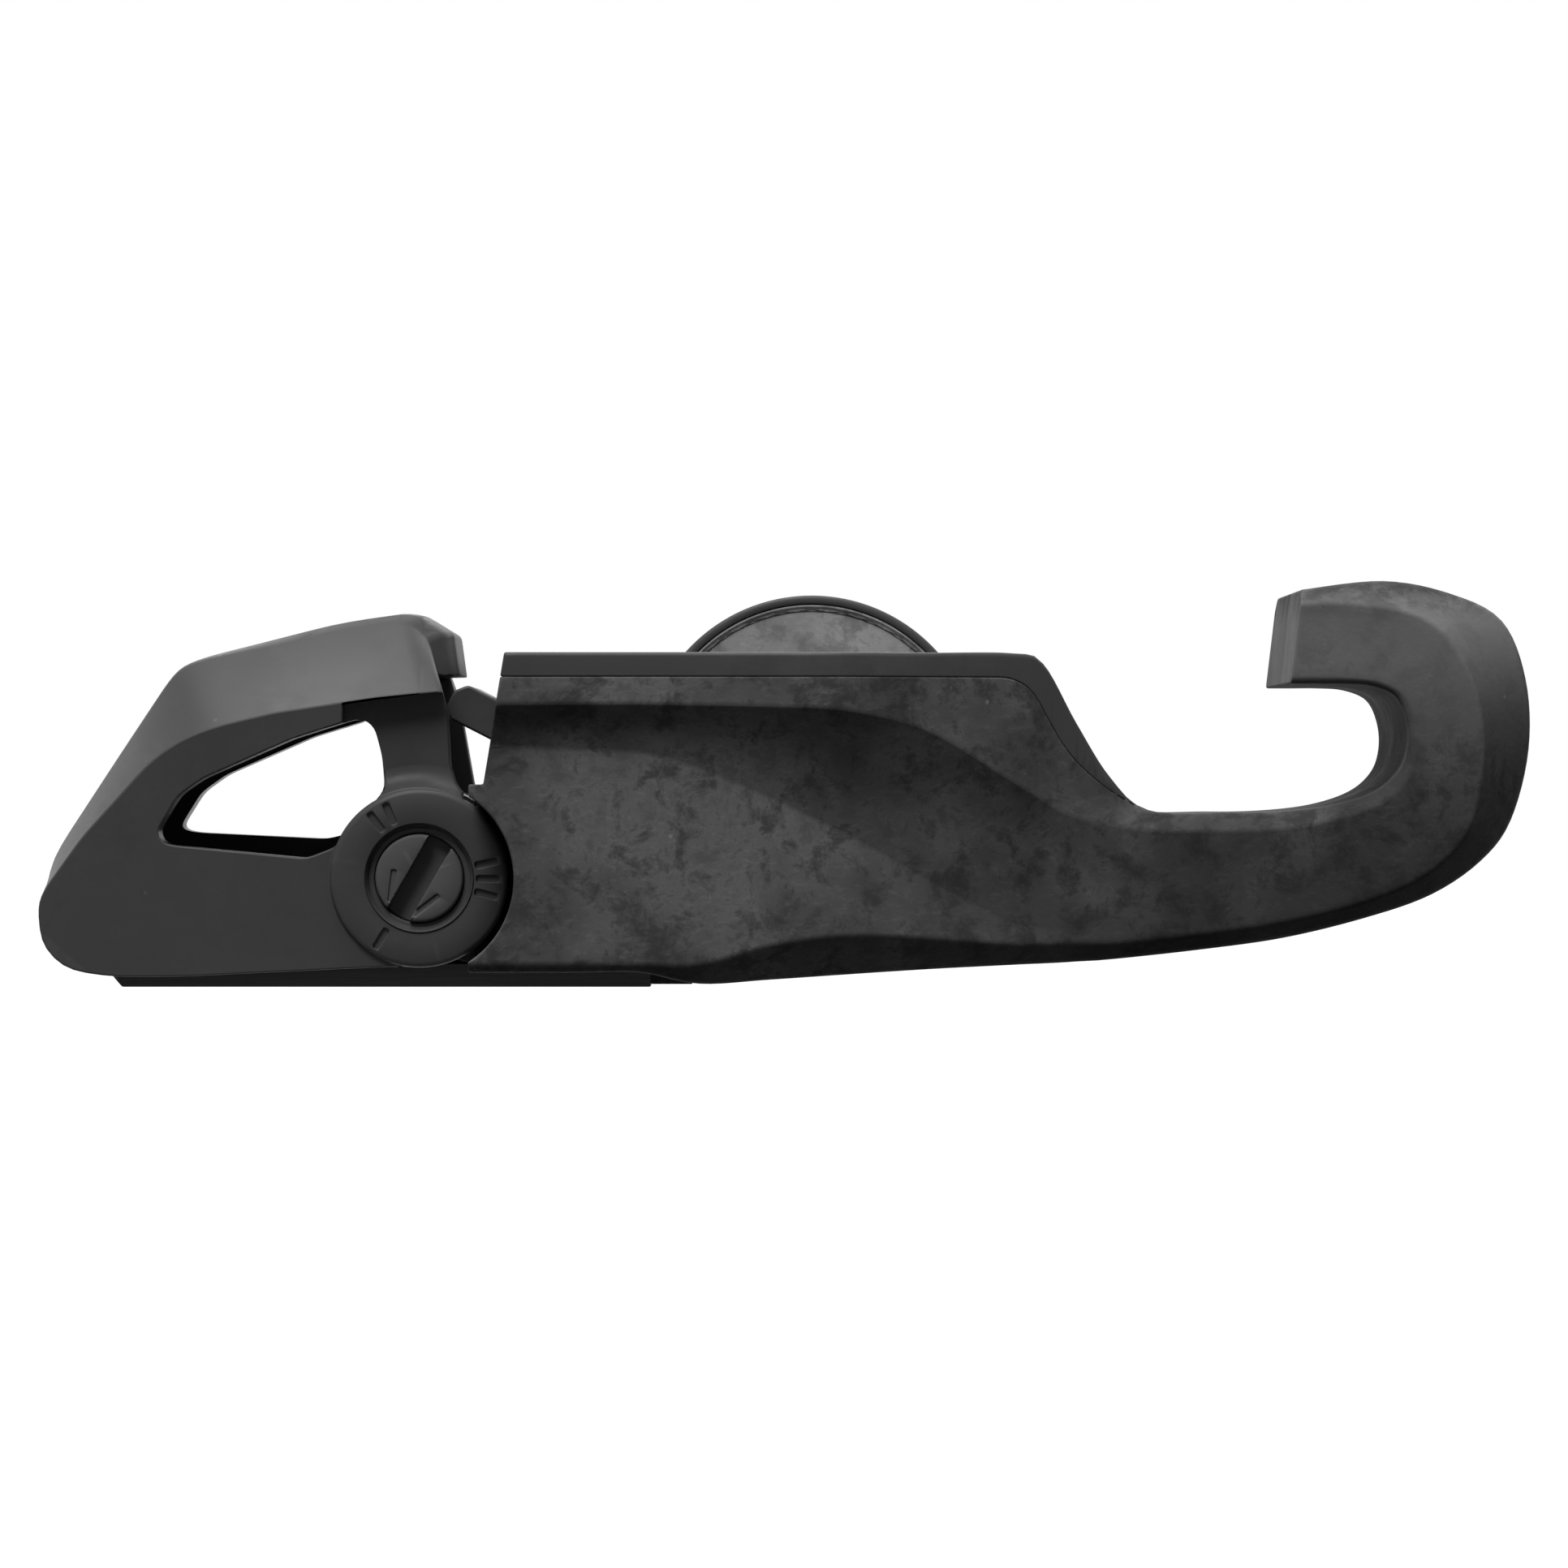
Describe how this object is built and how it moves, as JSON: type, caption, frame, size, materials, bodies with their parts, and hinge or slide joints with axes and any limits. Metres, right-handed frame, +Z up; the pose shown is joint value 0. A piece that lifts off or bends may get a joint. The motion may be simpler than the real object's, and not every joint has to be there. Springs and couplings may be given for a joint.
{
  "type": "clipless pedal",
  "caption": "Road clipless pedal: fibre composite body with a front hook, a sprung rear claw arm, a tension dial, a trigger and a leaf spring, on a hollow spindle with a crank thread.",
  "frame": {"origin": "on the spindle's axis, at the shoulder that seats on the crank", "axes": "+X forward towards the hook, +Y in towards the crank along the spindle, +Z up; right-hand pedal"},
  "size_m": [0.1058, 0.0915, 0.029],
  "materials": {
    "fibre_composite": "moulded chopped-fibre composite, mottled satin black",
    "smooth_composite": "smooth satin black composite",
    "carbon_leaf": "woven carbon blade, semi-gloss black",
    "steel_bright": "turned steel",
    "bearing_steel": "ground bearing steel",
    "spring_steel": "spring steel",
    "dark_steel": "blackened steel",
    "dark_alloy": "black anodised alloy",
    "brass_cage": "brass cage",
    "bronze_bush": "sintered bronze",
    "rubber_black": "black nitrile rubber"
  },
  "bodies": {
    "axle": {"spindle": "steel_bright", "inboard_inner_race": "bearing_steel", "outboard_inner_race": "bearing_steel", "axle_washer": "bearing_steel", "axle_locknut": "dark_steel"},
    "inboard_set": {"inboard_balls": "bearing_steel", "inboard_cage": "brass_cage"},
    "outboard_set": {"outboard_balls": "bearing_steel", "outboard_cage": "brass_cage"},
    "body": {"pedal_body": "fibre_composite", "platform_plate": "smooth_composite", "plate_screws": "dark_steel", "inboard_outer_race": "bearing_steel", "outboard_outer_race": "bearing_steel", "lock_collar": "dark_alloy", "lip_seal": "rubber_black", "leaf_spring": "carbon_leaf", "leaf_screws": "dark_steel", "pivot_bushes": "bronze_bush", "trigger_pin": "bearing_steel", "trigger_spring": "spring_steel"},
    "claw": {"rear_arm": "smooth_composite", "adjuster_seal": "rubber_black"},
    "adjuster": {"adjuster_axle": "dark_alloy", "tension_cam": "spring_steel", "adjuster_clip": "spring_steel"},
    "release": {"trigger": "smooth_composite"}
  },
  "joints": [
    {"name": "spindle_spin", "type": "hinge", "parent": "axle", "child": "body", "pos_m": [0, -0.02, 0], "axis": [0, 1, 0], "continuous": true},
    {"name": "inboard_set_spin", "type": "hinge", "parent": "axle", "child": "inboard_set", "pos_m": [0, -0.019, 0], "axis": [0, 1, 0], "continuous": true},
    {"name": "outboard_set_spin", "type": "hinge", "parent": "axle", "child": "outboard_set", "pos_m": [0, -0.059, 0], "axis": [0, 1, 0], "continuous": true},
    {"name": "arm_pivot", "type": "hinge", "parent": "body", "child": "claw", "pos_m": [-0.02775, -0.053, -0.0081], "axis": [0, -1, 0], "range_deg": [0, 18], "stiffness_Nm_per_rad": 1, "springref_deg": -17.19, "deforming": ["leaf_spring"]},
    {"name": "tension_dial", "type": "hinge", "parent": "claw", "child": "adjuster", "pos_m": [-0.02775, -0.053, -0.0081], "axis": [0, 1, 0], "range_deg": [0, 240]},
    {"name": "trigger_pivot", "type": "hinge", "parent": "body", "child": "release", "pos_m": [-0.016, -0.053, -0.0005], "axis": [0, 1, 0], "range_deg": [0, 11], "deforming": ["trigger_spring"]}
  ],
  "couplings": [
    {"joint": "inboard_set_spin", "follows": "spindle_spin", "ratio": 0.57364},
    {"joint": "outboard_set_spin", "follows": "spindle_spin", "ratio": 0.5675},
    {"joint": "trigger_pivot", "follows": "arm_pivot", "ratio": 0.6}
  ]
}
